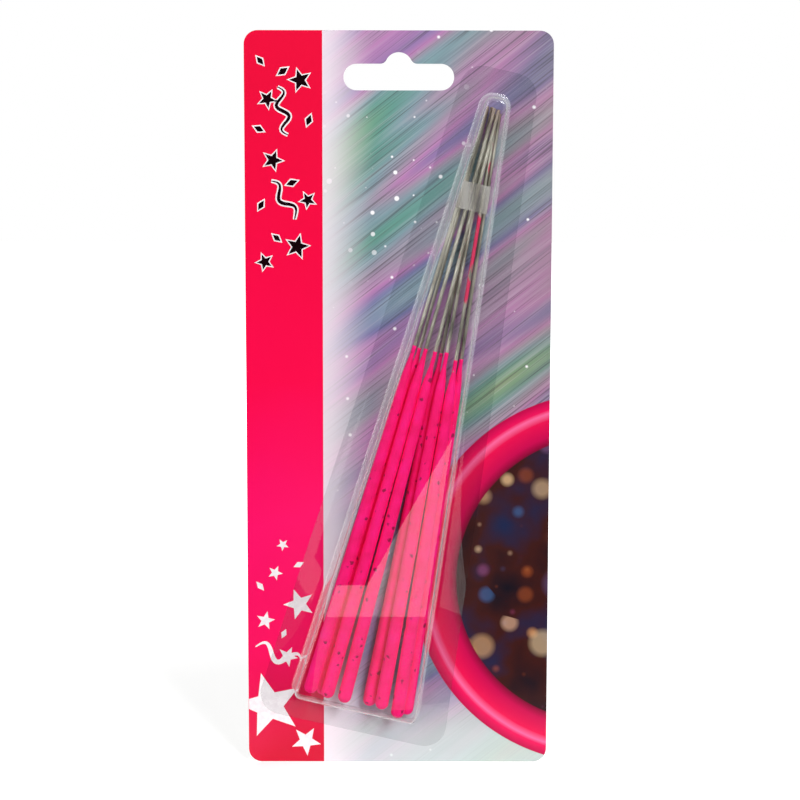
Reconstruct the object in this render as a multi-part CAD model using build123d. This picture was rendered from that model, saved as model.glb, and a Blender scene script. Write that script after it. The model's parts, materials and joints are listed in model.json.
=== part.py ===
from build123d import *
import math
import os
from collections import namedtuple

# A carded blister pack of eight wire sparklers, upright as it hangs on a display hook.
# Millimetres. +Z is up, +X is to the right of the printed face, and that face looks along -Y.
# The origin is the centre of the hang slot's round notch, on the back face of the card.

# Backing card: its outline is the sealing flange's outline box plus these margins
CARD_THICKNESS = 0.45
CARD_CORNER_RADIUS = 4.0
CARD_LEFT_MARGIN = 3.6
CARD_RIGHT_MARGIN = 4.9
CARD_FOOT_MARGIN = 4.9
CARD_HEADER = 10.0

# Hang slot of the euro pattern: a long slot with a round notch that centres the hook
SLOT_LENGTH = 32.0
SLOT_HEIGHT = 7.6
NOTCH_RADIUS = 4.0
NOTCH_RISE = 3.3
NOTCH_BLEND_RADIUS = 2.0
NOTCH_TO_TOP_EDGE = 6.2

# Sparkler: a steel wire, dipped for part of its length in a coat that thins towards the handle
SPARKLER_LENGTH = 180.0
WIRE_DIAMETER = 1.1
WIRE_END_CHAMFER = 0.15
COAT_LENGTH = 108.0
COAT_TIP_DIAMETER = 4.0
COAT_WAIST_DIAMETER = 3.5
COAT_WAIST_BELOW_TOP = 18.0
COAT_TOP_DIAMETER = 1.5
COAT_BELOW_WIRE = 2.4
COAT_SIDES = 20
COAT_TIP_RINGS = 3
COAT_TIP_FLAT_ANGLE = 30.0
COAT_SIDE_RINGS = 8

# Fan: lanes across the pack and layers away from the card, at the coated foot and the wire head
COAT_GAP = 0.1
WIRE_GAP = 0.15
WIRE_LAYER_GAP = 0.3
WIRE_LIFT = 0.4
Sparkler = namedtuple("Sparkler", "foot_lane foot_layer head_lane head_layer rise")
SPARKLERS = [
    Sparkler(foot_lane=-3.50, foot_layer=1, head_lane=-1.80, head_layer=2, rise=1.6),
    Sparkler(foot_lane=-2.20, foot_layer=1, head_lane=-0.10, head_layer=2, rise=1.3),
    Sparkler(foot_lane=-0.92, foot_layer=1, head_lane=0.92, head_layer=2, rise=1.0),
    Sparkler(foot_lane=0.98, foot_layer=0, head_lane=-0.50, head_layer=0, rise=0.6),
    Sparkler(foot_lane=1.87, foot_layer=1, head_lane=-0.55, head_layer=1, rise=1.5),
    Sparkler(foot_lane=3.12, foot_layer=1, head_lane=0.70, head_layer=1, rise=0.0),
    Sparkler(foot_lane=3.80, foot_layer=0, head_lane=1.45, head_layer=0, rise=0.5),
    Sparkler(foot_lane=-2.55, foot_layer=0, head_lane=-1.55, head_layer=0, rise=0.8),
]

# Clear adhesive tape round the bare wires
TAPE_WIDTH = 8.0
TAPE_THICKNESS = 0.12
TAPE_BELOW_WIRE_END = 21.0
TAPE_SLIP = 0.01

# Thermoformed blister: a tapered bubble on a flat sealing flange, of one sheet
SHEET = 0.35
BUBBLE_DRAFT = 6.0
BUBBLE_EDGE_RADIUS = 1.6
BUBBLE_ROOT_RADIUS = 0.6
BUBBLE_FOOT_CORNER = 3.0
BUBBLE_HEAD_CORNER = 3.5
FLANGE_FOOT_SIDE = 8.8
FLANGE_HEAD_SIDE = 7.2
FLANGE_END_WIDTH = 7.2
FLANGE_CORNER_RADIUS = 6.5
BUBBLE_TILT = 12.9

# Clearances round the sparklers inside the bubble
CARD_CLEARANCE = 0.6
FRONT_CLEARANCE = 1.2
SIDE_CLEARANCE = 0.6
HEAD_SIDE_CLEARANCE = 0.4
TIP_CLEARANCE = 0.3
HEAD_CLEARANCE = 1.2
BUNDLE_SLACK = 1.5

# Lanes and layers, in the bubble's own frame: across the pack, along it, and out from the card
coat_pitch = COAT_TIP_DIAMETER + COAT_GAP
wire_pitch = WIRE_DIAMETER + WIRE_GAP
wire_layer_pitch = WIRE_DIAMETER + WIRE_LAYER_GAP
wire_radius = WIRE_DIAMETER / 2
tip_radius = COAT_TIP_DIAMETER / 2
front_foot_layer = max(s.foot_layer for s in SPARKLERS)
front_head_layer = max(s.head_layer for s in SPARKLERS)
draft_slope = math.tan(math.radians(BUBBLE_DRAFT))


def foot_depth(layer):
    """Distance of a coated foot's centre from the card."""
    return CARD_CLEARANCE + tip_radius + layer * coat_pitch


def head_depth(layer):
    """Distance of a wire head's centre from the card."""
    return CARD_CLEARANCE + WIRE_LIFT + wire_radius + layer * wire_layer_pitch


# Bubble, sized to hold the fan: depth inside, seat of the lowest tip, length, and half widths at its base
inner_depth = foot_depth(front_foot_layer) + tip_radius + FRONT_CLEARANCE
outer_depth = inner_depth + SHEET
tip_seat = (
    (tip_radius + TIP_CLEARANCE) / math.cos(math.radians(BUBBLE_DRAFT))
    - tip_radius
    + SHEET
    + foot_depth(front_foot_layer) * draft_slope
)
head_draft = (head_depth(front_head_layer) + wire_radius) * draft_slope
highest_rise = max(s.rise for s in SPARKLERS)
bubble_length = (
    tip_seat + highest_rise + SPARKLER_LENGTH + BUNDLE_SLACK + HEAD_CLEARANCE + head_draft + SHEET
)
foot_half_width = (
    max(abs(s.foot_lane) for s in SPARKLERS) * coat_pitch
    + tip_radius
    + SIDE_CLEARANCE
    + outer_depth * draft_slope
    + SHEET
)
head_half_width = (
    max(abs(s.head_lane) for s in SPARKLERS) * wire_pitch
    + wire_radius
    + HEAD_SIDE_CLEARANCE
    + head_draft
    + SHEET
)
side_slope = (foot_half_width - head_half_width) / bubble_length


def wedge_plan(foot_side, head_side, ends, foot_corner, head_corner):
    """Rounded wedge outline: the bubble's base, grown at the sides of its foot and head and at both ends."""
    low = -ends
    high = bubble_length + ends
    low_half = foot_half_width - side_slope * low + foot_side
    high_half = foot_half_width - side_slope * high + head_side
    outline = make_face(
        Polyline((-low_half, low), (low_half, low), (high_half, high), (-high_half, high), close=True)
    )
    outline = fillet(outline.vertices().group_by(Axis.Y)[0], foot_corner)
    return fillet(outline.vertices().group_by(Axis.Y)[-1], head_corner)


def bubble_form(inset):
    """Solid bubble, drafted from its base and rounded at its front edge, all round inside by an inset."""
    base = wedge_plan(-inset, -inset, -inset, BUBBLE_FOOT_CORNER - inset, BUBBLE_HEAD_CORNER - inset)
    form = extrude(base, outer_depth - inset, taper=BUBBLE_DRAFT)
    front = form.faces().sort_by(Axis.Z)[-1]
    return fillet(front.edges(), BUBBLE_EDGE_RADIUS - inset)


# Placing on the card: the tilted flange's outline box and the margins give the card's outline
flange_plan = wedge_plan(
    FLANGE_FOOT_SIDE, FLANGE_HEAD_SIDE, FLANGE_END_WIDTH, FLANGE_CORNER_RADIUS, FLANGE_CORNER_RADIUS
)
flange_box = (Rot(0, 0, -BUBBLE_TILT) * flange_plan).bounding_box()
card_left = flange_box.min.X - CARD_LEFT_MARGIN
card_right = flange_box.max.X + CARD_RIGHT_MARGIN
card_foot = flange_box.min.Y - CARD_FOOT_MARGIN
card_top = flange_box.max.Y + CARD_HEADER
card_width = card_right - card_left
card_height = card_top - card_foot
card_centre_x = (card_left + card_right) / 2
notch_height = card_top - NOTCH_TO_TOP_EDGE - NOTCH_RADIUS
card_top_z = card_top - notch_height
tilt = math.radians(BUBBLE_TILT)
upright = Plane(origin=(0, 0, 0), x_dir=(1, 0, 0), z_dir=(0, -1, 0))
pack = Plane(
    origin=(-card_centre_x, -CARD_THICKNESS, -notch_height),
    x_dir=(math.cos(tilt), 0, -math.sin(tilt)),
    z_dir=(0, -1, 0),
)


def backing_card():
    """Board with rounded corners and the die-cut hang slot."""
    board = Pos(0, card_top_z - card_height / 2) * RectangleRounded(
        card_width, card_height, CARD_CORNER_RADIUS
    )
    slot_top = NOTCH_RADIUS - NOTCH_RISE
    long_slot = Pos(0, slot_top - SLOT_HEIGHT / 2) * SlotOverall(SLOT_LENGTH, SLOT_HEIGHT)
    cut_out = long_slot + Circle(NOTCH_RADIUS)
    inside_corners = [
        v for v in cut_out.vertices() if abs(v.Y - slot_top) < 1e-6 and abs(v.X) < NOTCH_RADIUS + 1e-6
    ]
    cut_out = fillet(inside_corners, NOTCH_BLEND_RADIUS)
    return upright.location * extrude(board - cut_out, CARD_THICKNESS)


def blister_shell():
    """Flange and bubble of one even sheet, rounded where the bubble rises from the flange."""
    sheet = extrude(flange_plan, SHEET) + bubble_form(0.0) - bubble_form(SHEET)
    flange_front = sheet.faces().filter_by(Axis.Z).group_by(Axis.Z)[1][0]
    sheet = fillet(flange_front.inner_wires()[0].edges(), BUBBLE_ROOT_RADIUS)
    flange_back = sheet.faces().filter_by(Axis.Z).group_by(Axis.Z)[0][0]
    sheet = fillet(flange_back.inner_wires()[0].edges(), BUBBLE_ROOT_RADIUS)
    return pack.location * sheet


def fan_point(sparkler, height):
    """Point of a sparkler's centre line at a height above the seat of the lowest tip."""
    share = height / SPARKLER_LENGTH
    across = sparkler.foot_lane * coat_pitch * (1 - share) + sparkler.head_lane * wire_pitch * share
    out = foot_depth(sparkler.foot_layer) * (1 - share) + head_depth(sparkler.head_layer) * share
    return Vector(across, tip_seat + height, out)


def along_sparkler(sparkler, solid):
    """Move a solid, built upwards from its foot on +Z, to a sparkler's place in the pack."""
    foot = fan_point(sparkler, sparkler.rise)
    head = fan_point(sparkler, sparkler.rise + SPARKLER_LENGTH)
    return pack.location * (Plane(origin=foot, z_dir=head - foot).location * solid)


def wire():
    """Straight wire from just above the dipped tip to its cut end."""
    length = SPARKLER_LENGTH - COAT_BELOW_WIRE
    rod = Pos(0, 0, COAT_BELOW_WIRE) * Cylinder(
        wire_radius, length, align=(Align.CENTER, Align.CENTER, Align.MIN)
    )
    return chamfer(rod.edges().group_by(Axis.Z)[-1], WIRE_END_CHAMFER)


def coating():
    """Dipped coat with the wire's bore: a round tip, and a side that thins past its waist to the wire."""
    rings = []
    flat = math.radians(COAT_TIP_FLAT_ANGLE)
    for step in range(COAT_TIP_RINGS):
        turn = flat + (math.pi / 2 - flat) * step / (COAT_TIP_RINGS - 1)
        rings.append((tip_radius * math.sin(turn), tip_radius * (math.cos(flat) - math.cos(turn))))
    waist = (COAT_WAIST_DIAMETER / 2, COAT_LENGTH - COAT_WAIST_BELOW_TOP)
    side = Bezier(rings[-1], waist, waist, (COAT_TOP_DIAMETER / 2, COAT_LENGTH))
    for step in range(1, COAT_SIDE_RINGS + 1):
        point = side.position_at(step / COAT_SIDE_RINGS, position_mode=PositionMode.PARAMETER)
        rings.append((point.X, point.Y))
    sections = [Pos(0, 0, height) * RegularPolygon(radius, COAT_SIDES) for radius, height in rings]
    dipped = loft(sections, ruled=True)
    bore = Cylinder(wire_radius, COAT_LENGTH, align=(Align.CENTER, Align.CENTER, Align.MIN))
    return dipped - Pos(0, 0, COAT_BELOW_WIRE) * bore


def tape_section(height, thickness):
    """Rounded rectangle that hugs all the wires at a height, grown by a thickness."""
    points = [fan_point(s, height) for s in SPARKLERS]
    reach = wire_radius + TAPE_SLIP
    left = min(p.X for p in points) - reach
    right = max(p.X for p in points) + reach
    back = min(p.Z for p in points) - reach
    front = max(p.Z for p in points) + reach
    centre = ((left + right) / 2, tip_seat + height, (back + front) / 2)
    face = RectangleRounded(right - left + 2 * thickness, front - back + 2 * thickness, reach + thickness)
    return Plane(origin=centre, x_dir=(1, 0, 0), z_dir=(0, 1, 0)) * face


def tape_band():
    """Band lofted round the converging wires."""
    upper = SPARKLER_LENGTH - TAPE_BELOW_WIRE_END
    lower = upper - TAPE_WIDTH
    outside = loft([tape_section(lower, TAPE_THICKNESS), tape_section(upper, TAPE_THICKNESS)])
    inside = loft([tape_section(lower, 0.0), tape_section(upper, 0.0)])
    return pack.location * (outside - inside)


os.makedirs("parts", exist_ok=True)
parts = {
    "backing_card": backing_card(),
    "blister_shell": blister_shell(),
    "tape_band": tape_band(),
}
for number, sparkler in enumerate(SPARKLERS, start=1):
    parts[f"sparkler_wire_{number}"] = along_sparkler(sparkler, wire())
    parts[f"sparkler_coating_{number}"] = along_sparkler(sparkler, coating())
for name, solid in parts.items():
    export_step(solid, f"parts/{name}.step")

# Sizes and joint places, in the frame of the part
hinge = pack.from_local_coords((0, bubble_length + FLANGE_END_WIDTH, SHEET))
print(f"card {card_width:.2f} x {card_height:.2f}, top edge at z {card_top_z:.2f}")
print(f"bubble {bubble_length:.2f} long, {2 * foot_half_width:.2f} to {2 * head_half_width:.2f} wide")
print(f"bubble depth {outer_depth:.2f}, lowest tip seat {tip_seat:.2f}")
print(f"blister hinge at {hinge.X:.4f}, {hinge.Y:.4f}, {hinge.Z:.4f}")
print(f"hinge axis {pack.x_dir.X:.6f}, {pack.x_dir.Y:.6f}, {pack.x_dir.Z:.6f}")
print(f"slide axis {pack.y_dir.X:.6f}, {pack.y_dir.Y:.6f}, {pack.y_dir.Z:.6f}")
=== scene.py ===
"""Looks of a carded blister pack of eight pink sparklers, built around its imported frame."""
import json
import logging
import math
import random
from dataclasses import dataclass, field
from enum import Enum

import bmesh
import bpy
from mathutils import Matrix, Vector, noise


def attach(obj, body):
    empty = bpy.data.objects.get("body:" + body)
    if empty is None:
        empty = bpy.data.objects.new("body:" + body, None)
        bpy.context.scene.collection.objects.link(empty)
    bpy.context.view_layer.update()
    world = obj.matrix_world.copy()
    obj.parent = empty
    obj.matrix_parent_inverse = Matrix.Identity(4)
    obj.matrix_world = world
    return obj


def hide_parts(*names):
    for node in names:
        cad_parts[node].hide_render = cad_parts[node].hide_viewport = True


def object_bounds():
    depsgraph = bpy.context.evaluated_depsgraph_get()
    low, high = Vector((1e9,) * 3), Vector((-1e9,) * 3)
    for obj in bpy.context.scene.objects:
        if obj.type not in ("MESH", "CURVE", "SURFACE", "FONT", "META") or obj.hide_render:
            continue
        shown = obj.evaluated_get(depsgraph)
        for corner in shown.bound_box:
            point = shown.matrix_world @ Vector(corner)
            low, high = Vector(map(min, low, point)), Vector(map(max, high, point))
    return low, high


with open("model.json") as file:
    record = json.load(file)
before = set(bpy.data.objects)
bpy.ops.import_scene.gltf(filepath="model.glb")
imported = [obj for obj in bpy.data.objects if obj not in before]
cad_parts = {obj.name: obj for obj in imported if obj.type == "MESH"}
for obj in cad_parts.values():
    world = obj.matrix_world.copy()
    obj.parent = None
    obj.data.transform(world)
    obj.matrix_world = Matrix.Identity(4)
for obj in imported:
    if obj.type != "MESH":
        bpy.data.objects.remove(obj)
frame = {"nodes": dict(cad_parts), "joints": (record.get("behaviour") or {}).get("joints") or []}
CAD_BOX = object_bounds()
MM = 0.001
GLARE_OUTLINE = ((-0.0286, -0.2), (0.0145, -0.2), (0.0445, -0.745), (-0.0118, -0.2563), (-0.0251, -0.2562))
SHEEN_OUTLINE = ((-0.0286, -0.2), (-0.0286, -0.07), (0.011, -0.07), (0.0145, -0.2))
LOG = logging.getLogger("sparkler_pack")
Socket = bpy.types.NodeSocket
Tree = bpy.types.NodeTree


class Body(Enum):
    """The bodies of the frame that pieces ride on."""

    CARD = "card"
    BLISTER = "blister"
    BUNDLE = "bundle"


class Slot(Enum):
    """The record's material slots."""

    BOARD = "printed_board"
    SHEET = "clear_sheet"
    TAPE = "clear_tape"
    WIRE = "steel_wire"
    COAT = "pink_coating"


def linear(hex_colour: str) -> tuple[float, float, float, float]:
    """Turn an sRGB hex colour into a linear RGBA colour.

    Args:
        hex_colour: Six hex digits, with or without a leading hash.

    Returns:
        Linear red, green and blue, and an alpha of one.
    """
    digits = hex_colour.lstrip("#")
    channels = [int(digits[i:i + 2], 16) / 255 for i in (0, 2, 4)]
    values = [c / 12.92 if c <= 0.04045 else ((c + 0.055) / 1.055) ** 2.4 for c in channels]
    return (values[0], values[1], values[2], 1.0)


def add(tree: Tree, kind: str, sockets: dict | None = None, **settings: object) -> bpy.types.Node:
    """Add one node with its settings, and set or link its input sockets.

    Args:
        tree: The tree that gets the node.
        kind: The node's type name.
        sockets: Input names or numbers, with a value or the output socket that feeds them.
        settings: The node's own properties.

    Returns:
        The new node.
    """
    made = tree.nodes.new(kind)
    for name, value in settings.items():
        setattr(made, name, value)
    for name, value in (sockets or {}).items():
        if isinstance(value, Socket):
            tree.links.new(value, made.inputs[name])
        else:
            made.inputs[name].default_value = value
    return made


def blend(tree: Tree, share: object, under: object, over: object, **settings: object) -> Socket:
    """Mix one colour over another by a share, and return the mixed colour."""
    sockets = {0: share, 6: under, 7: over}
    return add(tree, "ShaderNodeMix", sockets, data_type="RGBA", **settings).outputs[2]


def spread(tree: Tree, value: Socket, source: tuple, target: tuple = (0.0, 1.0),
           **settings: object) -> Socket:
    """Map a value from a source range onto a target range, clamped at its ends."""
    sockets = {"Value": value, 1: source[0], 2: source[1], 3: target[0], 4: target[1]}
    return add(tree, "ShaderNodeMapRange", sockets, **settings).outputs[0]


def calc(tree: Tree, operation: str, *values: object, **settings: object) -> Socket:
    """Work out one step of arithmetic on sockets or numbers."""
    return add(tree, "ShaderNodeMath", dict(enumerate(values)), operation=operation, **settings).outputs[0]


def grain(tree: Tree, place: Socket, scale: float, detail: float) -> Socket:
    """Cloudy noise from 0 to 1."""
    return add(tree, "ShaderNodeTexNoise",
               {"Vector": place, "Scale": scale, "Detail": detail}).outputs["Fac"]


def fill_ramp(ramp: bpy.types.Node, stops: list[tuple[float, str]]) -> Socket:
    """Give a colour ramp its stops.

    Args:
        ramp: The ramp node.
        stops: Places from 0 to 1, in order, with a hex colour each.

    Returns:
        The ramp's colour output.
    """
    elements = ramp.color_ramp.elements
    while len(elements) < len(stops):
        elements.new(0.5)
    for element, (place, colour) in zip(elements, stops):
        element.position = place
        element.color = linear(colour)
    return ramp.outputs["Color"]


class Finish:
    """A surface finish: a named material with its own node tree."""

    name = "finish"

    def material(self) -> bpy.types.Material:
        """Make the material, with an output node and this finish's surface."""
        made = bpy.data.materials.new(self.name)
        made.use_nodes = True
        tree = made.node_tree
        tree.nodes.clear()
        output = add(tree, "ShaderNodeOutputMaterial")
        tree.links.new(self.surface(tree), output.inputs["Surface"])
        return made

    def surface(self, tree: Tree) -> Socket:
        """Build the nodes and return the shader's output."""
        raise NotImplementedError

    @staticmethod
    def millimetres(tree: Tree) -> Socket:
        """Object coordinates in millimetres."""
        place = add(tree, "ShaderNodeTexCoord").outputs["Object"]
        return add(tree, "ShaderNodeMapping", {"Vector": place, "Scale": (1 / MM,) * 3}).outputs["Vector"]


@dataclass(frozen=True)
class PrintedBoard(Finish):
    """Offset-printed, varnished solid board: clean inks in front, grey pulp behind and at the cut edge."""

    band_edge: float = -22.1
    glow_width: float = 16.0
    streak_angle: float = 38.0
    ribbon_centre: tuple[float, float] = (61.0, -151.0)
    ribbon_radius: float = 50.0
    ribbon_half_width: float = 6.5
    cluster_centre: tuple[float, float] = (-2.0, -30.0)
    cluster_reach: float = 36.0
    front_face: float = -0.44
    name: str = "varnished_board_offset_print"

    def surface(self, tree: Tree) -> Socket:
        """Mix the front print with the plain board behind and at the edges."""
        place = self.millimetres(tree)
        axes = add(tree, "ShaderNodeSeparateXYZ", {"Vector": place})
        flat = add(tree, "ShaderNodeCombineXYZ",
                   {"X": axes.outputs["X"], "Y": axes.outputs["Z"]}).outputs[0]
        inks = self.field(tree, place, flat, axes)
        inks = self.night(tree, place, flat, inks)
        inks = self.ribbon(tree, flat, inks)
        inks = self.band(tree, place, axes, inks)
        pulp = grain(tree, place, 2.2, 4.0)
        board = fill_ramp(add(tree, "ShaderNodeValToRGB", {"Fac": pulp}),
                          [(0.3, "#c9c6bf"), (0.7, "#dad8d2")])
        front = calc(tree, "LESS_THAN", axes.outputs["Y"], self.front_face)
        colour = blend(tree, front, board, inks)
        rough = spread(tree, front, (0.0, 1.0), (0.85, 0.3))
        fibres = grain(tree, place, 3.0, 5.0)
        bump = add(tree, "ShaderNodeBump", {"Height": fibres, "Strength": 0.05, "Distance": 0.05 * MM})
        shader = add(
            tree,
            "ShaderNodeBsdfPrincipled",
            {"Base Color": colour, "Roughness": rough, "Normal": bump.outputs["Normal"],
             "IOR": 1.4},
        )
        return shader.outputs["BSDF"]

    def streaks(self, tree: Tree, place: Socket, size: tuple[float, float], detail: float) -> Socket:
        """Noise drawn out along the slant.

        Args:
            tree: The material's tree.
            place: Coordinates in millimetres.
            size: Length and breadth of one streak in millimetres.
            detail: The noise's detail.

        Returns:
            The noise's value.
        """
        turn = (0.0, -math.radians(self.streak_angle), 0.0)
        slanted = add(tree, "ShaderNodeMapping",
                      {"Vector": place, "Rotation": turn, "Scale": (size[0], 1e3, size[1])},
                      vector_type="TEXTURE")
        return add(tree, "ShaderNodeTexNoise",
                   {"Vector": slanted.outputs[0], "Scale": 1.0, "Detail": detail,
                    "Roughness": 0.6}).outputs["Fac"]

    def field(self, tree: Tree, place: Socket, flat: Socket, axes: bpy.types.Node) -> Socket:
        """Muted light streaks on a slant with fine hatching, white sparks and a pale foot."""
        inks = fill_ramp(
            add(tree, "ShaderNodeValToRGB", {"Fac": self.streaks(tree, place, (150.0, 22.0), 1.5)}),
            [(0.28, "#5f918c"), (0.36, "#8499a8"), (0.42, "#7470a0"), (0.48, "#b47cae"), (0.53, "#9a8ca0"),
             (0.58, "#7d97a0"), (0.63, "#62958a"), (0.69, "#74a07c"), (0.76, "#b48c6c")],
        )
        warm = spread(tree, axes.outputs["X"], (10.0, 44.0), (0.0, 0.35))
        inks = blend(tree, warm, inks, linear("#8a7768"))
        broad = self.streaks(tree, place, (70.0, 2.4), 3.0)
        hatch = self.streaks(tree, place, (55.0, 0.4), 2.0)
        layers = [(broad, 0.54, 0.76, 0.28, "#cdc8ce"), (broad, 0.46, 0.3, 0.45, "#5b5f6c"),
                  (hatch, 0.57, 0.66, 0.2, "#cdc8ce"), (hatch, 0.44, 0.37, 0.6, "#4c474f")]
        for value, start, end, most, ink in layers:
            mask = spread(tree, value, (start, end), (0.0, most))
            inks = blend(tree, mask, inks, linear(ink))
        centre = (*self.cluster_centre, 0.0)
        away = add(tree, "ShaderNodeVectorMath", {0: flat, 1: centre},
                   operation="DISTANCE").outputs["Value"]
        for scale, rarity, largest, reach in ((0.075, 0.4, 0.045, 1e3),
                                              (0.15, 0.5, 0.13, self.cluster_reach)):
            cells = add(tree, "ShaderNodeTexVoronoi", {"Vector": flat, "Scale": scale},
                        voronoi_dimensions="2D")
            pick = add(tree, "ShaderNodeSeparateColor", {"Color": cells.outputs["Color"]})
            size = spread(tree, pick.outputs[0], (rarity, 1.0), (0.0, largest))
            near = spread(tree, away, (reach / 3, reach), (1.0, 0.0))
            edge = calc(tree, "SUBTRACT", size, cells.outputs["Distance"])
            spark = spread(tree, edge, (-0.01, 0.02), (0.0, 0.95))
            mask = calc(tree, "MULTIPLY", spark, near)
            inks = blend(tree, mask, inks, linear("#fbf8fb"))
        foot = spread(tree, axes.outputs["Z"], (-178.0, -200.0), (0.0, 0.75),
                      interpolation_type="SMOOTHSTEP")
        return blend(tree, foot, inks, linear("#cdd8d6"))

    def ring_distance(self, tree: Tree, flat: Socket) -> Socket:
        """Distance in the card's plane from the ribbon's centre."""
        centre = (*self.ribbon_centre, 0.0)
        return add(tree, "ShaderNodeVectorMath", {0: flat, 1: centre},
                   operation="DISTANCE").outputs["Value"]

    def night(self, tree: Tree, place: Socket, flat: Socket, under: Socket) -> Socket:
        """Dark evening ground with soft warm and blue light discs, inside the ribbon's sweep."""
        murk = grain(tree, place, 0.045, 3.0)
        ground = fill_ramp(add(tree, "ShaderNodeValToRGB", {"Fac": murk}),
                           [(0.3, "#0b0a18"), (0.5, "#3a1512"), (0.7, "#10244a")])
        for scale, soft, most in ((0.06, 0.12, 0.34), (0.11, 0.17, 0.55)):
            cells = add(tree, "ShaderNodeTexVoronoi", {"Vector": flat, "Scale": scale},
                        voronoi_dimensions="2D")
            pick = add(tree, "ShaderNodeSeparateColor", {"Color": cells.outputs["Color"]})
            glow = fill_ramp(add(tree, "ShaderNodeValToRGB", {"Fac": pick.outputs[0]}),
                             [(0.0, "#3a1a10"), (0.25, "#9a4a1e"), (0.45, "#e0a060"), (0.6, "#f0d2a2"),
                              (0.75, "#8d2f52"), (0.9, "#1d5c8e")])
            size = spread(tree, pick.outputs[1], (0.0, 1.0), (0.02, 0.36))
            edge = calc(tree, "SUBTRACT", size, cells.outputs["Distance"])
            disc = spread(tree, edge, (0.0, soft), (0.0, most))
            ground = blend(tree, disc, ground, glow, blend_type="SCREEN")
        inside = spread(tree, self.ring_distance(tree, flat),
                        (self.ribbon_radius - 1.0, self.ribbon_radius + 1.0), (1.0, 0.0))
        return blend(tree, inside, under, ground)

    def ribbon(self, tree: Tree, flat: Socket, under: Socket) -> Socket:
        """Broad glossy magenta sweep, shaded across its width."""
        low = self.ribbon_radius - self.ribbon_half_width
        high = self.ribbon_radius + self.ribbon_half_width
        across = spread(tree, self.ring_distance(tree, flat), (low, high))
        shade = fill_ramp(
            add(tree, "ShaderNodeValToRGB", {"Fac": across}),
            [(0.02, "#7c0030"), (0.2, "#c4004c"), (0.55, "#e4084d"), (0.7, "#f2669a"), (0.78, "#e80a58"),
             (0.98, "#b80046")],
        )
        inner = calc(tree, "SUBTRACT", across, 0.5)
        reach = calc(tree, "ABSOLUTE", inner)
        mask = spread(tree, reach, (0.485, 0.5), (1.0, 0.0))
        return blend(tree, mask, under, shade)

    def band(self, tree: Tree, place: Socket, axes: bpy.types.Node, under: Socket) -> Socket:
        """Crimson band down the left side, with a white glow beside it."""
        glow = spread(tree, axes.outputs["X"], (self.band_edge - 2.0, self.band_edge + self.glow_width),
                      (0.85, 0.0), interpolation_type="SMOOTHSTEP")
        glowing = blend(tree, glow, under, linear("#efe4ec"))
        height = spread(tree, axes.outputs["Z"], (-207.0, 10.0))
        cloud = grain(tree, place, 0.03, 2.0)
        drift = calc(tree, "MULTIPLY_ADD", cloud, 0.12, height)
        red = fill_ramp(
            add(tree, "ShaderNodeValToRGB", {"Fac": drift}),
            [(0.08, "#cc0030"), (0.22, "#ee0a5a"), (0.4, "#f80a66"), (0.6, "#f60048"), (0.85, "#ec003c"),
             (1.0, "#e40036")],
        )
        mask = calc(tree, "LESS_THAN", axes.outputs["X"], self.band_edge)
        return blend(tree, mask, glowing, red)


@dataclass(frozen=True)
class PlainInk(Finish):
    """Screen-printed ink film on the varnish: one even colour with a faint mottle."""

    colour: str = "#f4eff1"
    shade: str = "#e9e2e6"
    roughness: float = 0.38
    metallic: float = 0.0
    name: str = "screen_printed_white_ink"

    def surface(self, tree: Tree) -> Socket:
        """Two close tones over a fine mottle."""
        place = self.millimetres(tree)
        mottle = grain(tree, place, 0.9, 3.0)
        tone = fill_ramp(add(tree, "ShaderNodeValToRGB", {"Fac": mottle}),
                         [(0.35, self.shade), (0.65, self.colour)])
        shader = add(tree, "ShaderNodeBsdfPrincipled",
                     {"Base Color": tone, "Roughness": self.roughness, "Metallic": self.metallic})
        return shader.outputs["BSDF"]


@dataclass(frozen=True)
class ClearSheet(Finish):
    """Thermoformed PVC sheet: clear and glossy, whitened a little where the draw has stretched it."""

    name: str = "thermoformed_clear_pvc"
    ior: float = 1.45
    roughness: float = 0.0
    stretched: float = 0.72

    def surface(self, tree: Tree) -> Socket:
        """Glass-like sheet, hazy on the walls, that lets light through to what it covers."""
        stretch = add(tree, "ShaderNodeAttribute", attribute_name="stretch").outputs["Fac"]
        clear = spread(tree, stretch, (0.0, 1.0), (1.0, self.stretched))
        shader = add(
            tree,
            "ShaderNodeBsdfPrincipled",
            {"Base Color": linear("#eaeded"), "Roughness": self.roughness, "IOR": self.ior,
             "Transmission Weight": clear},
        )
        passing = add(tree, "ShaderNodeBsdfTransparent", {"Color": linear("#ffffff")})
        ray = add(tree, "ShaderNodeLightPath")
        lit = calc(tree, "MAXIMUM", ray.outputs["Is Shadow Ray"], ray.outputs["Is Diffuse Ray"])
        mixed = add(tree, "ShaderNodeMixShader", {0: lit, 1: shader.outputs[0], 2: passing.outputs[0]})
        return mixed.outputs[0]


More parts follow.
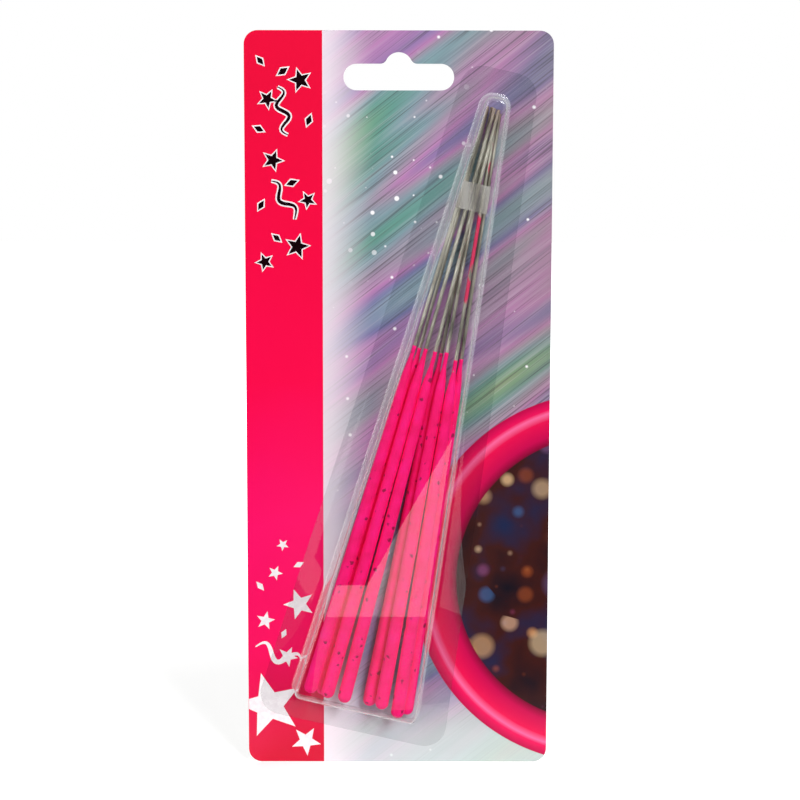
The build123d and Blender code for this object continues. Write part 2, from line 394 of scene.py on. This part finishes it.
@dataclass(frozen=True)
class ClearTape(Finish):
    """Polypropylene packing tape: thin and hazy, with creases that catch the light and bands of painted
    sheen.
    """

    name: str = "hazy_polypropylene_tape"
    haze: float = 0.18
    sheen_band_phase: float = 4.74

    def surface(self, tree: Tree) -> Socket:
        """Milky film over a clear one, creased along its length, whiter in bands that paint a sheen."""
        place = self.millimetres(tree)
        crease = grain(tree, place, 0.3, 1.0)
        bump = add(tree, "ShaderNodeBump", {"Height": crease, "Strength": 0.2, "Distance": 0.3 * MM})
        film = add(tree, "ShaderNodeBsdfPrincipled",
                   {"Base Color": linear("#fbf7f2"), "Roughness": 0.25, "Normal": bump.outputs["Normal"]})
        clear = add(tree, "ShaderNodeBsdfTransparent", {"Color": linear("#f4f2f0")})
        # The mean haze is the tape's own. The whiter bands of the wave are a painted sheen.
        sheen_band = add(tree, "ShaderNodeTexWave",
                   {"Vector": place, "Scale": 0.045, "Phase Offset": self.sheen_band_phase})
        cloud = spread(tree, sheen_band.outputs["Fac"], (0.0, 1.0), (self.haze - 0.1, self.haze + 0.1))
        mixed = add(tree, "ShaderNodeMixShader", {0: cloud, 1: clear.outputs[0], 2: film.outputs[0]})
        return mixed.outputs[0]


@dataclass(frozen=True)
class SteelWire(Finish):
    """Drawn mild steel wire: dull grey with olive oxide, a rusty end and smears of the pink dip."""

    smear_from: float = 0.68
    rust_from: float = -19.0
    name: str = "drawn_steel_wire"

    def surface(self, tree: Tree) -> Socket:
        """Grey metal, patches of oxide, a rusty end and a few pink smears."""
        place = self.millimetres(tree)
        height = add(tree, "ShaderNodeSeparateXYZ", {"Vector": place}).outputs["Z"]
        drawn = add(tree, "ShaderNodeMapping", {"Vector": place, "Scale": (6.0, 6.0, 14.0)},
                    vector_type="TEXTURE")
        patch = grain(tree, drawn.outputs[0], 1.0, 4.0)
        metal = fill_ramp(add(tree, "ShaderNodeValToRGB", {"Fac": patch}),
                          [(0.3, "#67645a"), (0.5, "#aaa597"), (0.7, "#dfdacc")])
        smear = grain(tree, drawn.outputs[0], 0.9, 4.0)
        pink = spread(tree, smear, (self.smear_from, self.smear_from + 0.04))
        end = spread(tree, height, (self.rust_from, self.rust_from + 7.0))
        rust = calc(tree, "MULTIPLY", end, smear)
        colour = blend(tree, rust, metal, linear("#7c3428"))
        colour = blend(tree, pink, colour, linear("#dc2c5c"))
        bare = calc(tree, "SUBTRACT", 0.7, pink, use_clamp=True)
        shader = add(tree, "ShaderNodeBsdfPrincipled",
                     {"Base Color": colour, "Metallic": bare, "Roughness": 0.4})
        return shader.outputs["BSDF"]


@dataclass(frozen=True)
class PinkDip(Finish):
    """Dried dip of oxidiser, metal powder and fluorescent pigment: matt hot pink with dark grains."""

    painted_glow: float = 0.1
    name: str = "dried_pink_sparkler_dip"

    def surface(self, tree: Tree) -> Socket:
        """Saturated pink, mottled, with dark grains, a fine grit and a weak painted glow."""
        place = self.millimetres(tree)
        mottle = grain(tree, place, 0.22, 5.0)
        pink = fill_ramp(add(tree, "ShaderNodeValToRGB", {"Fac": mottle}),
                         [(0.3, "#f20566"), (0.52, "#ff0a76"), (0.72, "#ff1284")])
        grains = add(tree, "ShaderNodeTexVoronoi", {"Vector": place, "Scale": 0.75})
        size = add(tree, "ShaderNodeSeparateColor", {"Color": grains.outputs["Color"]})
        limit = spread(tree, size.outputs[0], (0.86, 1.0), (0.0, 0.66))
        ragged = grain(tree, place, 1.5, 4.0)
        near = calc(tree, "MULTIPLY_ADD", ragged, 1.0, grains.outputs["Distance"])
        edge = calc(tree, "SUBTRACT", limit, near)
        speck = spread(tree, edge, (-0.45, -0.3), (0.0, 0.8))
        colour = blend(tree, speck, pink, linear("#4d0a24"))
        grit = grain(tree, place, 3.2, 4.0)
        bump = add(tree, "ShaderNodeBump", {"Height": grit, "Strength": 0.3, "Distance": 0.08 * MM})
        # The emission is a painted glow, as bright in shade as in light, standing in for the pigment's
        # fluorescence.
        shader = add(tree, "ShaderNodeBsdfPrincipled",
                     {"Base Color": colour, "Roughness": 0.7, "IOR": 1.35, "Normal": bump.outputs["Normal"],
                      "Emission Color": linear("#ff0a5c"), "Emission Strength": self.painted_glow})
        return shader.outputs["BSDF"]


@dataclass(frozen=True)
class StudioPaper(Finish):
    """White studio paper: shows white to the camera and keeps a soft shadow."""

    name: str = "white_studio_paper"
    under: tuple[float, float, float] = (0.0, 0.0, -207.0)
    near_reach: float = 120.0
    far_reach: float = 600.0
    near_lift: float = 0.25
    far_lift: float = 1.0

    def surface(self, tree: Tree) -> Socket:
        """White diffuse paper, lifted to white where the camera sees it, also through the clear sheet."""
        paper = add(tree, "ShaderNodeBsdfDiffuse", {"Color": linear("#f4f4f4")})
        away = add(tree, "ShaderNodeVectorMath", {0: self.millimetres(tree), 1: self.under},
                   operation="DISTANCE")
        level = spread(tree, away.outputs["Value"], (self.near_reach, self.far_reach),
                       (self.near_lift, self.far_lift))
        lift = add(tree, "ShaderNodeEmission", {"Strength": level})
        both = add(tree, "ShaderNodeAddShader", {0: paper.outputs[0], 1: lift.outputs[0]})
        ray = add(tree, "ShaderNodeLightPath")
        turned = calc(tree, "ADD", ray.outputs["Diffuse Depth"], ray.outputs["Glossy Depth"])
        clear = calc(tree, "MAXIMUM", ray.outputs["Is Camera Ray"], ray.outputs["Is Transmission Ray"])
        seen = calc(tree, "GREATER_THAN", clear, turned)
        mixed = add(tree, "ShaderNodeMixShader", {0: seen, 1: paper.outputs[0], 2: both.outputs[0]})
        return mixed.outputs[0]


@dataclass(frozen=True)
class LightCard(Finish):
    """Lit white card in front of the pack, which gives the bubble's face its glare."""

    strength: float = 1.8
    name: str = "lit_white_card"

    def surface(self, tree: Tree) -> Socket:
        """Even white light."""
        return add(tree, "ShaderNodeEmission", {"Strength": self.strength}).outputs[0]


@dataclass(frozen=True)
class BlackFlag(Finish):
    """Black felt before the pack and behind the camera, which keeps a veil off the blister's front."""

    name: str = "black_felt"

    def surface(self, tree: Tree) -> Socket:
        """Plain dark felt."""
        return add(tree, "ShaderNodeBsdfDiffuse", {"Color": linear("#101010")}).outputs[0]


def piece(name: str, mesh: bmesh.types.BMesh, finish: bpy.types.Material, body: Body) -> bpy.types.Object:
    """Turn a bmesh into a named piece that rides on a body.

    Args:
        name: The piece's name.
        mesh: The finished bmesh, in the part's frame, which is freed.
        finish: Its material.
        body: The body that it moves with.

    Returns:
        The new object, at the origin.
    """
    data = bpy.data.meshes.new(name)
    mesh.to_mesh(data)
    mesh.free()
    made = bpy.data.objects.new(name, data)
    bpy.context.scene.collection.objects.link(made)
    data.materials.append(finish)
    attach(made, body.value)
    LOG.info("%s: %d faces, rides on %s", name, len(data.polygons), body.value)
    return made


def dress(node: str, finish: bpy.types.Material) -> None:
    """Give a node of the frame its material.

    Args:
        node: The node's name.
        finish: The material.
    """
    data = frame["nodes"][node].data
    data.materials.clear()
    data.materials.append(finish)
    LOG.info("%s: dressed in %s", node, finish.name)


@dataclass
class PackFrame:
    """The bubble's own axes on the card: across, along and out, from the frame's joints."""

    flange_end: float = 7.2
    bubble_length: float = 186.53
    sheet: float = 0.35
    across: Vector = field(init=False)
    along: Vector = field(init=False)
    out: Vector = field(init=False)
    foot: Vector = field(init=False)

    def __post_init__(self) -> None:
        """Read the hinge and the slide, and find the foot of the bubble on the card."""
        joints = {joint["name"]: joint for joint in frame["joints"]}
        self.across = -Vector(joints["blister_peel"]["axis"])
        self.along = Vector(joints["bundle_shift"]["axis"])
        self.out = Vector((0.0, -1.0, 0.0))
        hinge = Vector(joints["blister_peel"]["pos_m"])
        reach = (self.flange_end + self.bubble_length) * MM
        self.foot = hinge - self.along * reach - self.out * self.sheet * MM

    def matrix(self) -> Matrix:
        """Matrix from the bubble's axes, in metres, to the part's frame."""
        turn = Matrix((self.across, self.along, self.out)).transposed().to_4x4()
        return Matrix.Translation(self.foot) @ turn


@dataclass
class Blister:
    """Clear thermoformed blister: a tapered bubble on a flat sealing flange, sizes in millimetres."""

    pack: PackFrame
    foot_half: float = 19.607
    head_half: float = 4.066
    depth: float = 10.25
    draft: float = 6.0
    edge_radius: float = 1.6
    root_radius: float = 0.6
    foot_corner: float = 3.0
    head_corner: float = 3.5
    flange_foot_side: float = 8.8
    flange_head_side: float = 7.2
    flange_corner: float = 6.5
    sheet: float = 0.30
    arc_steps: int = 10
    fillet_steps: int = 6

    def plan(self, sides: tuple[float, float], ends: float, corners: tuple[float, float]) -> list[Vector]:
        """Rounded wedge outline in the bubble's plane.

        Args:
            sides: Growth at the sides of the foot and of the head.
            ends: Growth at both ends.
            corners: Corner radius at the foot and at the head.

        Returns:
            Points round the outline, the same number for any sizes.
        """
        length = self.pack.bubble_length
        slope = (self.foot_half - self.head_half) / length
        low, high = -ends, length + ends
        low_half = self.foot_half - slope * low + sides[0]
        high_half = self.foot_half - slope * high + sides[1]
        turns = [Vector((-low_half, low)), Vector((low_half, low)), Vector((high_half, high)),
                 Vector((-high_half, high))]
        radii = [corners[0], corners[0], corners[1], corners[1]]
        points = []
        for number, (corner, radius) in enumerate(zip(turns, radii)):
            before = (turns[number - 1] - corner).normalized()
            after = (turns[(number + 1) % 4] - corner).normalized()
            half = before.angle(after) / 2
            centre = corner + (before + after).normalized() * radius / math.sin(half)
            first = corner + before * radius / math.tan(half) - centre
            sweep = math.pi - 2 * half
            for step in range(self.arc_steps + 1):
                points.append(centre + Matrix.Rotation(sweep * step / self.arc_steps, 2) @ first)
        return points

    def bubble_profile(self) -> list[tuple[float, float, float]]:
        """Inset, height and stretch of each ring of the bubble, from the flange to the front face."""
        draft = math.radians(self.draft)
        root_height = self.pack.sheet + self.root_radius
        root_inset = root_height * math.tan(draft) - self.root_radius / math.cos(draft)
        edge_height = self.depth - self.edge_radius
        edge_inset = edge_height * math.tan(draft) + self.edge_radius / math.cos(draft)
        rings = []
        for step in range(self.fillet_steps + 1):
            share = step / self.fillet_steps
            turn = -math.pi / 2 + (math.pi / 2 - draft) * share
            rings.append((root_inset + self.root_radius * math.cos(turn),
                          root_height + self.root_radius * math.sin(turn), share))
        for step in range(self.fillet_steps + 1):
            share = step / self.fillet_steps
            turn = math.pi - draft - (math.pi / 2 - draft) * share
            rings.append((edge_inset + self.edge_radius * math.cos(turn),
                          edge_height + self.edge_radius * math.sin(turn), (1 - share) ** 2))
        return rings

    def build(self, finish: bpy.types.Material) -> bpy.types.Object:
        """Bridge rings from the flange's edge to the bubble's front, and give the sheet its thickness."""
        mesh = bmesh.new()
        layer = mesh.verts.layers.float.new("stretch")
        rim = self.plan((self.flange_foot_side, self.flange_head_side), self.pack.flange_end,
                        (self.flange_corner, self.flange_corner))
        outlines = [(rim, self.pack.sheet, 0.0)]
        for inset, height, stretch in self.bubble_profile():
            corners = (self.foot_corner - inset, self.head_corner - inset)
            outlines.append((self.plan((-inset, -inset), -inset, corners), height, stretch))
        loops = []
        for outline, height, stretch in outlines:
            ring = [mesh.verts.new((point.x * MM, point.y * MM, height * MM)) for point in outline]
            for vert in ring:
                vert[layer] = stretch
            loops.append([mesh.edges.new((ring[i - 1], ring[i])) for i in range(len(ring))])
        for lower, upper in zip(loops, loops[1:]):
            bmesh.ops.bridge_loops(mesh, edges=lower + upper)
        front = bmesh.ops.contextual_create(mesh, geom=loops[-1])["faces"]
        bmesh.ops.inset_region(mesh, faces=front, thickness=0.4 * MM)
        bmesh.ops.recalc_face_normals(mesh, faces=mesh.faces)
        for face in mesh.faces:
            face.smooth = True
        bmesh.ops.transform(mesh, matrix=self.pack.matrix(), verts=mesh.verts)
        made = piece("blister_sheet", mesh, finish, Body.BLISTER)
        wall = made.modifiers.new("sheet_thickness", "SOLIDIFY")
        wall.thickness = self.sheet * MM
        wall.offset = -1.0
        made.modifiers.new("even_shading", "WEIGHTED_NORMAL")
        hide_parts("blister_shell")
        return made


@dataclass
class Sparklers:
    """Eight dipped wires and the tape that holds them, sizes in millimetres."""

    pack: PackFrame
    count: int = 8
    tip_radius: float = 2.0
    waist_radius: float = 1.6
    waist_below_top: float = 15.0
    top_radius: float = 0.6
    neck_range: tuple[float, float] = (1.5, 4.5)
    coat_length: float = 108.0
    ring_spacing: float = 0.7
    tip_rings: int = 7
    sides: int = 40
    lump: float = 0.05
    pit_count: int = 22
    smeared_wire: int = 6

    def axis(self, number: int) -> tuple[Vector, Vector]:
        """Foot of a coat and the direction of its wire, read from the frame.

        Args:
            number: The sparkler's number, from 1.

        Returns:
            The lowest point of the coat's centre line, and the unit direction towards the wire's end.
        """
        wire = [v.co for v in frame["nodes"][f"sparkler_wire_{number}"].data.vertices]
        coat = [v.co for v in frame["nodes"][f"sparkler_coating_{number}"].data.vertices]
        places = [point.dot(self.pack.along) for point in wire]
        middle = (min(places) + max(places)) / 2
        low = [p for p, place in zip(wire, places) if place < middle]
        high = [p for p, place in zip(wire, places) if place >= middle]
        foot = sum(low, Vector()) / len(low)
        head = sum(high, Vector()) / len(high)
        direction = (head - foot).normalized()
        lowest = min((point - foot).dot(direction) for point in coat)
        return foot + direction * lowest, direction

    def profile(self, neck: float) -> list[tuple[float, float]]:
        """Radius and height of the rings: a round tip, a slow taper and a thin neck of the given length."""
        rings = []
        for step in range(self.tip_rings):
            turn = math.pi / 2 * step / self.tip_rings
            rings.append((self.tip_radius * math.sin(turn), self.tip_radius * (1 - math.cos(turn))))
        steps = round((self.coat_length - self.tip_radius) / self.ring_spacing)
        waist = self.coat_length - self.waist_below_top
        for step in range(steps + 1):
            height = self.tip_radius + (self.coat_length - self.tip_radius) * step / steps
            if height < waist:
                share = (height - self.tip_radius) / (waist - self.tip_radius)
                radius = self.tip_radius + (self.waist_radius - self.tip_radius) * share ** 1.5
            else:
                share = max(0.0, (self.coat_length - height - neck) / (self.waist_below_top - neck))
                swell = math.sin(share * math.pi / 2)
                radius = self.top_radius + (self.waist_radius - self.top_radius) * swell
            rings.append((radius, height))
        rings.append((0.0, self.coat_length))
        return rings

    def coat(self, number: int, finish: bpy.types.Material) -> bpy.types.Object:
        """Spin one coat, roughen it with lumps and pits, and set it on its wire."""
        mesh = bmesh.new()
        neck = random.Random(100 + number).uniform(*self.neck_range)
        line = [mesh.verts.new((radius * MM, 0.0, height * MM)) for radius, height in self.profile(neck)]
        edges = [mesh.edges.new(pair) for pair in zip(line, line[1:])]
        bmesh.ops.spin(mesh, geom=line + edges, axis=(0, 0, 1), cent=(0, 0, 0), dvec=(0, 0, 0),
                       angle=2 * math.pi, steps=self.sides, use_merge=True)
        bmesh.ops.remove_doubles(mesh, verts=mesh.verts, dist=0.001 * MM)
        bmesh.ops.recalc_face_normals(mesh, faces=mesh.faces)
        self.roughen(mesh, number)
        for face in mesh.faces:
            face.smooth = True
        foot, direction = self.axis(number)
        place = Matrix.Translation(foot) @ direction.to_track_quat("Z", "X").to_matrix().to_4x4()
        bmesh.ops.transform(mesh, matrix=place, verts=mesh.verts)
        made = piece(f"pink_coat_{number}", mesh, finish, Body.BUNDLE)
        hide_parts(f"sparkler_coating_{number}")
        return made

    def roughen(self, mesh: bmesh.types.BMesh, number: int) -> None:
        """Move the coat's surface in and out by soft lumps, and dent it with small pits.

        Args:
            mesh: The coat, upright at the origin.
            number: The sparkler's number, which sets its lumps and pits apart from the others'.
        """
        draw = random.Random(number)
        pits = []
        for _ in range(self.pit_count):
            turn = draw.uniform(0, 2 * math.pi)
            height = draw.uniform(4.0, self.coat_length - 8.0)
            pits.append((turn, height, draw.uniform(0.35, 0.9), draw.uniform(0.1, 0.28)))
        for vert in mesh.verts:
            at = vert.co / MM
            reach = math.hypot(at.x, at.y)
            if reach < 0.3:
                continue
            slow = noise.noise(Vector((at.x * 0.4, at.y * 0.4, at.z * 0.12 + number * 31.7)))
            quick = noise.noise(Vector((at.x * 1.1, at.y * 1.1, at.z * 0.7 + number * 17.3)))
            move = self.lump * (slow + 0.6 * quick) - 0.02
            for turn, height, size, deep in pits:
                if abs(at.z - height) > size:
                    continue
                gap = math.dist(at, (reach * math.cos(turn), reach * math.sin(turn), height))
                if gap < size:
                    move -= deep * (1 - (gap / size) ** 2)
            vert.co += Vector((at.x, at.y, 0)) / reach * move * MM

    def build(self, dip: bpy.types.Material, film: bpy.types.Material) -> None:
        """Make the coats and dress the wires and the tape."""
        steel = SteelWire().material()
        smeared = SteelWire(smear_from=0.5, name="drawn_steel_wire_smeared_with_dip").material()
        for number in range(1, self.count + 1):
            self.coat(number, dip)
            dress(f"sparkler_wire_{number}", smeared if number == self.smeared_wire else steel)
        dress("tape_band", film)


@dataclass(frozen=True)
class Star:
    """One confetti star: its centre on the card, outer radius and turn, in millimetres and degrees."""

    x: float
    z: float
    radius: float
    turn: float


@dataclass(frozen=True)
class Chip:
    """One confetti diamond: its centre on the card, length, breadth and turn, in millimetres and degrees."""

    x: float
    z: float
    length: float
    breadth: float
    turn: float


@dataclass(frozen=True)
class Curl:
    """One paper streamer: its start on the card, run, turn, waves, their height and the strip's breadth."""

    x: float
    z: float
    run: float
    turn: float
    waves: float
    height: float
    breadth: float


@dataclass(frozen=True)
class InkLayer:
    """The motifs of one pass of ink or foil."""

    stars: tuple[Star, ...]
    chips: tuple[Chip, ...]
    curls: tuple[Curl, ...]


FOIL_LAYER = InkLayer(stars=(Star(-38.0, -9.5, 2.6, 8), Star(-28.5, -4.0, 3.2, -20),
                             Star(-36.5, -27.0, 2.9, 15), Star(-26.4, -38.5, 2.3, -8),
                             Star(-29.5, -52.0, 3.4, 22), Star(-39.0, -56.5, 2.4, -14)),
                             chips=(Chip(-33.5, -1.5, 3.6, 1.9, 35), Chip(-40.0, 1.5, 3.0, 1.6, -50),
                                    Chip(-26.0, -15.5, 3.4, 1.8, 70), Chip(-40.5, -18.0, 3.2, 1.7, -25),
                                    Chip(-31.0, -33.5, 3.6, 1.8, 20), Chip(-40.0, -40.0, 3.2, 1.7, 60),
                                    Chip(-35.5, -49.5, 3.0, 1.6, -40)),
                                    curls=(Curl(-35.0, -6.0, 14.0, -78, 2.0, 1.5, 1.0),
                                           Curl(-37.0, -33.0, 13.0, -55, 1.6, 1.4, 1.0)))
WHITE_LAYER = InkLayer(stars=(Star(-36.5, -149.0, 2.3, 12), Star(-29.4, -158.5, 4.8, -16),
                              Star(-39.5, -163.5, 2.9, 24), Star(-34.2, -140.5, 1.9, -6),
                              Star(-33.0, -174.5, 3.2, 10), Star(-38.5, -189.5, 10.2, -22),
                              Star(-27.5, -200.5, 4.6, 5)),
                              chips=(Chip(-29.5, -146.5, 3.4, 1.8, 25), Chip(-41.0, -153.0, 3.6, 1.8, -50),
                                     Chip(-34.0, -167.5, 3.2, 1.7, 65)),
                                     curls=(Curl(-42.5, -171.5, 15.0, -20, 1.5, 2.2, 1.5),),)


@dataclass
class HangCard:
    """Printed hang card with ink confetti on its band, sizes in millimetres."""

    front: float = -0.45
    left_edge: float = -44.6
    film: float = 0.015
    outline: float = 0.42
    points: int = 5
    waist: float = 0.42
    curl_steps: int = 28

    def lay(self, mesh: bmesh.types.BMesh, verts: list[bmesh.types.BMVert], motif: Star | Chip | Curl,
            height: float) -> None:
        """Turn flat motif points, drawn in millimetres about their origin, onto the card's face.

        Args:
            mesh: The bmesh that holds them.
            verts: The points.
            motif: The motif, for its place and turn.
            height: Height above the card's face.
        """
        place = (
            Matrix.Translation((motif.x * MM, (self.front - height) * MM, motif.z * MM))
            @ Matrix.Rotation(math.radians(90), 4, "X")
            @ Matrix.Rotation(math.radians(motif.turn), 4, "Z")
            @ Matrix.Diagonal((MM, MM, MM, 1.0))
        )
        bmesh.ops.transform(mesh, matrix=place, verts=verts)

    def star(self, mesh: bmesh.types.BMesh, star: Star, grow: float, height: float) -> None:
        """Add one flat star, grown by an outline's width."""
        made = bmesh.ops.create_circle(mesh, cap_ends=True, segments=2 * self.points, radius=1.0)["verts"]
        order = sorted(made, key=lambda vert: math.atan2(vert.co.y, vert.co.x))
        for number, vert in enumerate(order):
            vert.co *= (star.radius + grow * 1.7) if number % 2 == 0 else (star.radius * self.waist + grow)
        self.lay(mesh, made, star, height)

    def chip(self, mesh: bmesh.types.BMesh, chip: Chip, grow: float, height: float) -> None:
        """Add one flat diamond, grown by an outline's width."""
        made = bmesh.ops.create_circle(mesh, cap_ends=True, segments=4, radius=1.0)["verts"]
        for vert in made:
            vert.co.x *= chip.length / 2 + grow * 1.6
            vert.co.y *= chip.breadth / 2 + grow
        self.lay(mesh, made, chip, height)

    def curl(self, mesh: bmesh.types.BMesh, curl: Curl, grow: float, height: float) -> None:
        """Add one flat waving strip that thins to its ends, grown by an outline's width."""
        rows = []
        for step in range(self.curl_steps + 1):
            share = step / self.curl_steps
            turn = share * curl.waves * 2 * math.pi
            middle = Vector((curl.run * share, curl.height * math.sin(turn), 0.0))
            slope = Vector((curl.run, curl.height * math.cos(turn) * curl.waves * 2 * math.pi,
                            0.0)).normalized()
            half = curl.breadth * (0.25 + 0.75 * math.sin(math.pi * share)) / 2 + grow
            side = Vector((-slope.y, slope.x, 0.0)) * half
            rows.append((mesh.verts.new(middle - side), mesh.verts.new(middle + side)))
        for (a, b), (c, d) in zip(rows, rows[1:]):
            mesh.faces.new((a, c, d, b))
        self.lay(mesh, [vert for row in rows for vert in row], curl, height)

    def confetti(self, name: str, layer: InkLayer, grow: float, height: float,
                 finish: bpy.types.Material) -> None:
        """Make one pass of ink as a thin film on the card, cut off at the card's edge.

        Args:
            name: The piece's name.
            layer: The motifs.
            grow: Extra width all round each motif.
            height: Height of the film's front above the card's face.
            finish: The ink's material.
        """
        mesh = bmesh.new()
        for star in layer.stars:
            self.star(mesh, star, grow, height)
        for chip in layer.chips:
            self.chip(mesh, chip, grow, height)
        for curl in layer.curls:
            self.curl(mesh, curl, grow, height)
        everything = mesh.verts[:] + mesh.edges[:] + mesh.faces[:]
        bmesh.ops.bisect_plane(mesh, geom=everything, dist=1e-7, plane_co=(self.left_edge * MM, 0, 0),
                               plane_no=(-1, 0, 0), clear_outer=True)
        raised = bmesh.ops.extrude_face_region(mesh, geom=mesh.faces[:])["geom"]
        back = [item for item in raised if isinstance(item, bmesh.types.BMVert)]
        bmesh.ops.translate(mesh, verts=back, vec=(0, self.film * 0.8 * MM, 0))
        bmesh.ops.recalc_face_normals(mesh, faces=mesh.faces)
        piece(name, mesh, finish, Body.CARD)

    def build(self, board: bpy.types.Material, white: bpy.types.Material, foil: bpy.types.Material) -> None:
        """Dress the card and print its confetti."""
        dress("backing_card", board)
        self.confetti("foil_confetti_outlines", FOIL_LAYER, self.outline, self.film, white)
        self.confetti("foil_confetti", FOIL_LAYER, 0.0, 2 * self.film, foil)
        self.confetti("white_confetti", WHITE_LAYER, 0.0, self.film, white)


@dataclass
class Studio:
    """Floor, black felt, light card, lamps, world and camera, in metres and degrees."""

    camera_place: tuple[float, float, float] = (-0.00253, -0.6, -0.01962)
    pitch: float = -7.361
    yaw: float = 0.293
    roll: float = 0.111
    lens: float = 92.38
    sensor: float = 36.0
    ambient: float = 0.3
    felt_from: float = -0.06
    felt_to: float = -1.3
    felt_width: float = 0.9
    flag_height: float = 0.75

    def build(self) -> None:
        """Make the whole stage."""
        self.backdrop()
        self.lights()
        self.world()
        self.camera()

    def sheet(self, name: str, corners: list[tuple[float, float, float]], finish: Finish,
              seen: bool) -> None:
        """Add one flat stage sheet.

        Args:
            name: The sheet's name.
            corners: Its corners in order.
            finish: Its finish.
            seen: Whether the camera sees it and it casts a shadow.
        """
        mesh = bmesh.new()
        mesh.faces.new([mesh.verts.new(corner) for corner in corners])
        data = bpy.data.meshes.new(name)
        mesh.to_mesh(data)
        mesh.free()
        made = bpy.data.objects.new(name, data)
        made.visible_camera = seen
        made.visible_shadow = seen
        bpy.context.scene.collection.objects.link(made)
        data.materials.append(finish.material())

    def backdrop(self) -> None:
        """White paper under the card, and felt and a light card before it, out of the picture."""
        level = CAD_BOX[0].z - 0.0002
        far = 3.0
        self.sheet("studio_floor",
                   [(-far, -far, level), (far, -far, level), (far, far, level), (-far, far, level)],
                   StudioPaper(), True)
        side = self.felt_width / 2
        self.sheet("floor_felt",
                   [(-side, self.felt_from, level + 0.001), (-side, self.felt_to, level + 0.001),
                    (side, self.felt_to, level + 0.001), (side, self.felt_from, level + 0.001)],
                    BlackFlag(), False)
        top = level + self.flag_height
        self.sheet("black_flag",
                   [(-side, self.felt_to, level), (side, self.felt_to, level), (side, self.felt_to, top),
                    (-side, self.felt_to, top)], BlackFlag(), False)
        self.sheet("light_card", [(x, y, level + 0.002) for x, y in GLARE_OUTLINE], LightCard(), False)
        self.sheet("sheen_card", [(x, y, level + 0.002) for x, y in SHEEN_OUTLINE],
                   LightCard(strength=0.45, name="dim_white_card"), False)

    def lamp(self, name: str, place: tuple[float, float, float], size: tuple[float, float],
             power: float) -> None:
        """Add one rectangular soft lamp that faces the pack's middle."""
        data = bpy.data.lights.new(name, "AREA")
        data.shape = "RECTANGLE"
        data.size, data.size_y = size
        data.energy = power
        made = bpy.data.objects.new(name, data)
        made.location = place
        made.rotation_euler = (Vector((0.0, 0.0, -0.1)) - Vector(place)).to_track_quat("-Z", "Y").to_euler()
        bpy.context.scene.collection.objects.link(made)

    def lights(self) -> None:
        """A soft key from the upper right, a broad fill from the left and a plain lamp for the back."""
        self.lamp("key_right", (0.45, -0.85, 0.5), (0.4, 0.4), 11.8)
        self.lamp("fill_left", (-0.8, -0.6, 0.2), (0.5, 0.8), 3.5)
        self.lamp("back_lamp", (-0.3, 1.0, 0.45), (0.5, 0.5), 9.0)

    def world(self) -> None:
        """White to the camera, mirrors and glass, and a plain soft level for the rest."""
        world = bpy.data.worlds.new("white_studio")
        bpy.context.scene.world = world
        world.use_nodes = True
        tree = world.node_tree
        tree.nodes.clear()
        ray = add(tree, "ShaderNodeLightPath")
        near = calc(tree, "MAXIMUM", ray.outputs["Is Camera Ray"], ray.outputs["Is Glossy Ray"])
        clear = calc(tree, "MAXIMUM", near, ray.outputs["Is Transmission Ray"])
        seen = calc(tree, "GREATER_THAN", clear, ray.outputs["Diffuse Depth"])
        soft = add(tree, "ShaderNodeBackground", {"Color": (1.0, 1.0, 1.0, 1.0), "Strength": self.ambient})
        white = add(tree, "ShaderNodeBackground", {"Color": (1.0, 1.0, 1.0, 1.0), "Strength": 1.0})
        mixed = add(tree, "ShaderNodeMixShader", {0: seen, 1: soft.outputs[0], 2: white.outputs[0]})
        output = add(tree, "ShaderNodeOutputWorld")
        tree.links.new(mixed.outputs[0], output.inputs["Surface"])

    def camera(self) -> None:
        """Camera at the photograph's viewing angle."""
        data = bpy.data.cameras.new("photo_camera")
        data.lens = self.lens
        data.sensor_width = self.sensor
        data.clip_start = 0.01
        made = bpy.data.objects.new("photo_camera", data)
        pitch, yaw, roll = (math.radians(v) for v in (self.pitch, self.yaw, self.roll))
        forward = Vector((math.sin(yaw) * math.cos(pitch), math.cos(yaw) * math.cos(pitch),
                          math.sin(pitch)))
        level = Vector((math.cos(yaw), -math.sin(yaw), 0.0))
        upward = level.cross(forward)
        right = level * math.cos(roll) + upward * math.sin(roll)
        top = -level * math.sin(roll) + upward * math.cos(roll)
        turn = Matrix((right, top, -forward)).transposed().to_4x4()
        made.matrix_world = Matrix.Translation(self.camera_place) @ turn
        bpy.context.scene.collection.objects.link(made)
        bpy.context.scene.camera = made
        bpy.context.scene.view_settings.view_transform = "Standard"


def main() -> None:
    """Build the pack's looks and its stage."""
    logging.basicConfig(level=logging.INFO, format="%(name)s %(message)s")
    pack = PackFrame()
    white = PlainInk().material()
    foil = PlainInk(colour="#2b0b16", shade="#1a070d", roughness=0.2, metallic=0.6,
                    name="dark_hot_foil").material()
    HangCard().build(PrintedBoard().material(), white, foil)
    Blister(pack).build(ClearSheet().material())
    Sparklers(pack).build(PinkDip().material(), ClearTape().material())
    Studio().build()


if __name__ == "__main__":
    main()
